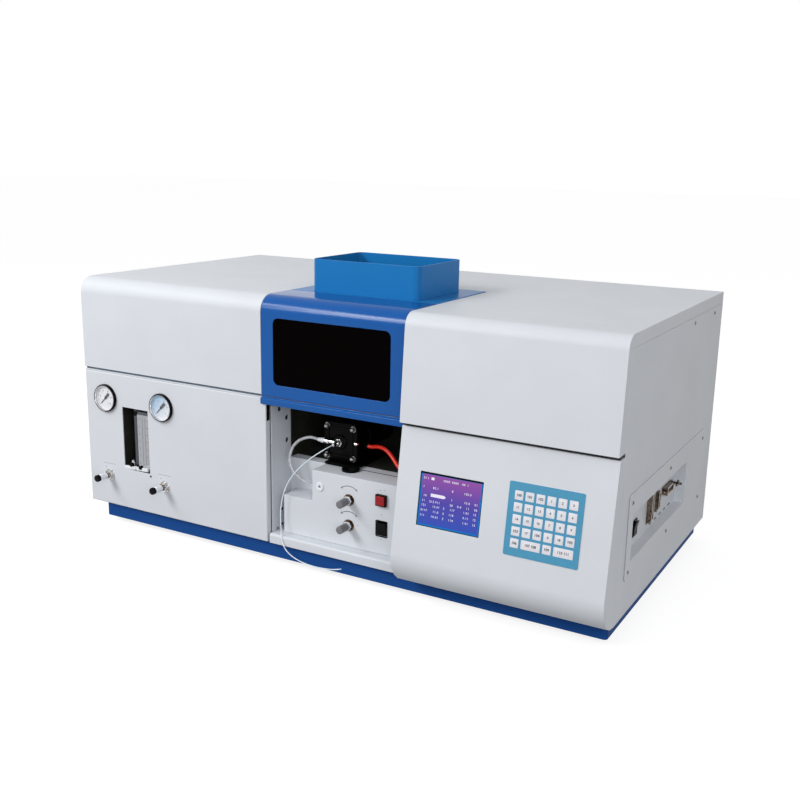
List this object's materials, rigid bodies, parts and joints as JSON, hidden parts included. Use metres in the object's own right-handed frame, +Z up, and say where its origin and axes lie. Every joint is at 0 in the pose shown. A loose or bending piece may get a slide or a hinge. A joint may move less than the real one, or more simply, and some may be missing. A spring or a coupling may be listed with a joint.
{
  "type": "flame atomic absorption spectrometer",
  "caption": "Wide bench spectrometer: blue hooded burner bay with chimney between a gas-control cabinet and a cabinet with a sloped panel, display and keypad.",
  "frame": {"origin": "centre of the instrument's footprint, gas inlets included, on the plane its feet stand on", "axes": "+X to the instrument's right seen from in front, along its width; +Y to its back; +Z up"},
  "size_m": [1.0218, 0.6042, 0.516],
  "materials": {
    "white_coat": "smooth pale grey-white powder coat",
    "blue_coat": "satin mid-blue powder coat",
    "dark_blue_coat": "satin dark blue powder coat",
    "black_coat": "matt black paint",
    "black_plastic": "matt black moulding",
    "grey_plastic": "grey knurled grip",
    "red_plastic": "gloss red cap",
    "smoked_glass": "smoked clear sheet",
    "clear_glass": "clear glass",
    "acrylic": "clear acrylic block",
    "chrome": "bright chrome",
    "steel": "dull steel",
    "titanium": "heat-tinted titanium",
    "aluminium": "satin aluminium",
    "rubber": "black rubber",
    "teal_film": "matt teal printed film",
    "display": "backlit blue display",
    "red_hose": "red gas hose",
    "clear_hose": "clear gas hose",
    "white_tube": "white plastic capillary",
    "circuit_board": "green circuit board"
  },
  "bodies": {
    "cabinet": {"base_plinth": "dark_blue_coat", "foot_front_left": "rubber", "foot_front_right": "rubber", "foot_rear_left": "rubber", "foot_rear_right": "rubber", "left_side_panel": "white_coat", "right_side_panel": "white_coat", "rear_panel": "white_coat", "left_front_panel": "white_coat", "right_front_panel": "white_coat", "rear_top_panel": "white_coat", "hood_top_plate": "blue_coat", "chimney_duct": "blue_coat", "left_bulkhead": "white_coat", "right_bulkhead": "white_coat", "burner_bay_liner": "black_coat", "bay_sill": "white_coat", "control_box": "white_coat", "left_gauge_case": "chrome", "left_gauge_lens": "clear_glass", "right_gauge_case": "chrome", "right_gauge_lens": "clear_glass", "flowmeter_recess": "black_coat", "flowmeter_block": "acrylic", "left_valve_body": "chrome", "right_valve_body": "chrome", "display_module": "display", "keypad_membrane": "teal_film", "connector_panel": "white_coat", "main_board": "circuit_board", "ignition_switch_case": "black_plastic", "fuel_hose": "red_hose", "air_hose": "clear_hose", "sample_capillary": "white_tube", "lamp_turret_stand": "aluminium", "monochromator_housing": "aluminium", "power_transformer": "steel"},
    "left_cover": {"left_top_cover": "white_coat"},
    "right_lid": {"right_top_lid": "white_coat"},
    "visor_door": {"visor": "blue_coat", "visor_window": "smoked_glass"},
    "left_valve": {"left_valve_knob": "grey_plastic"},
    "right_valve": {"right_valve_knob": "grey_plastic"},
    "left_needle": {"left_gauge_needle": "black_plastic"},
    "right_needle": {"right_gauge_needle": "black_plastic"},
    "float": {"flowmeter_float": "steel"},
    "burner_lift": {"burner_lift_post": "black_coat"},
    "burner": {"spray_chamber": "black_plastic", "nebulizer": "chrome"},
    "head": {"burner_head": "titanium"},
    "height_adjuster": {"height_knob": "grey_plastic"},
    "traverse_adjuster": {"traverse_knob": "grey_plastic"},
    "ignition": {"ignition_button": "red_plastic"},
    "gas_switch": {"gas_rocker": "black_plastic"},
    "power_switch": {"power_rocker": "black_plastic"},
    "turret": {"lamp_turret": "aluminium", "hollow_cathode_lamp_1": "clear_glass", "hollow_cathode_lamp_2": "clear_glass"},
    "grating": {"grating_table": "steel"},
    "fan": {"fan_rotor": "black_plastic"}
  },
  "joints": [
    {"name": "left_cover_hinge", "type": "hinge", "parent": "cabinet", "child": "left_cover", "pos_m": [-0.308, 0.27611, 0.462], "axis": [-1, 0, 0], "range_deg": [0, 65]},
    {"name": "right_lid_hinge", "type": "hinge", "parent": "cabinet", "child": "right_lid", "pos_m": [0.3415, 0.01661, 0.462], "axis": [-1, 0, 0], "range_deg": [0, 85]},
    {"name": "visor_hinge", "type": "hinge", "parent": "cabinet", "child": "visor_door", "pos_m": [0.03185, -0.16589, 0.462], "axis": [-1, 0, 0], "range_deg": [0, 75]},
    {"name": "left_valve_turn", "type": "hinge", "parent": "cabinet", "child": "left_valve", "pos_m": [-0.4595, -0.26149, 0.0985], "axis": [0, -1, 0], "range_deg": [0, 720]},
    {"name": "right_valve_turn", "type": "hinge", "parent": "cabinet", "child": "right_valve", "pos_m": [-0.3255, -0.26149, 0.0985], "axis": [0, -1, 0], "range_deg": [0, 720]},
    {"name": "left_needle_swing", "type": "hinge", "parent": "cabinet", "child": "left_needle", "pos_m": [-0.46, -0.25229, 0.2445], "axis": [0, 1, 0], "range_deg": [0, 270]},
    {"name": "right_needle_swing", "type": "hinge", "parent": "cabinet", "child": "right_needle", "pos_m": [-0.326, -0.25229, 0.2445], "axis": [0, 1, 0], "range_deg": [0, 270]},
    {"name": "float_rise", "type": "slide", "parent": "cabinet", "child": "float", "axis": [0, 0, 1], "range_m": [0, 0.08]},
    {"name": "burner_raise", "type": "slide", "parent": "cabinet", "child": "burner_lift", "axis": [0, 0, 1], "range_m": [0, 0.012], "deforming": ["fuel_hose", "air_hose", "sample_capillary"]},
    {"name": "burner_traverse", "type": "slide", "parent": "burner_lift", "child": "burner", "axis": [0, 1, 0], "range_m": [-0.005, 0.005]},
    {"name": "burner_head_turn", "type": "hinge", "parent": "burner", "child": "head", "pos_m": [0.006, -0.08239, 0.2743], "axis": [0, 0, 1], "range_deg": [0, 90]},
    {"name": "height_knob_turn", "type": "hinge", "parent": "cabinet", "child": "height_adjuster", "pos_m": [0.053, -0.23869, 0.095], "axis": [0, 1, 0], "range_deg": [0, 864]},
    {"name": "traverse_knob_turn", "type": "hinge", "parent": "cabinet", "child": "traverse_adjuster", "pos_m": [0.053, -0.23869, 0.1385], "axis": [0, 1, 0], "range_deg": [-900, 900]},
    {"name": "ignition_button_press", "type": "slide", "parent": "cabinet", "child": "ignition", "axis": [0, 1, 0], "range_m": [0, 0.003], "stiffness_N_per_m": 250, "springref_m": -0.001},
    {"name": "gas_rocker_tilt", "type": "hinge", "parent": "cabinet", "child": "gas_switch", "pos_m": [0.115, -0.23089, 0.1015], "axis": [-1, 0, 0], "range_deg": [0, 14]},
    {"name": "power_rocker_tilt", "type": "hinge", "parent": "cabinet", "child": "power_switch", "pos_m": [0.4965, -0.12939, 0.1484], "axis": [0, -1, 0], "range_deg": [0, 14]},
    {"name": "lamp_turret_index", "type": "hinge", "parent": "cabinet", "child": "turret", "pos_m": [-0.3535, -0.08239, 0.3], "axis": [1, 0, 0], "range_deg": [-180, 180]},
    {"name": "grating_scan", "type": "hinge", "parent": "cabinet", "child": "grating", "pos_m": [0.367, -0.08239, 0.3123], "axis": [0, 0, 1], "range_deg": [-10, 50]},
    {"name": "fan_spin", "type": "hinge", "parent": "cabinet", "child": "fan", "pos_m": [0.33, 0.27311, 0.312], "axis": [0, 1, 0], "continuous": true}
  ],
  "couplings": [
    {"joint": "height_knob_turn", "follows": "burner_raise", "rad_per_m": 1256.6},
    {"joint": "traverse_knob_turn", "follows": "burner_traverse", "rad_per_m": 3141.5}
  ]
}
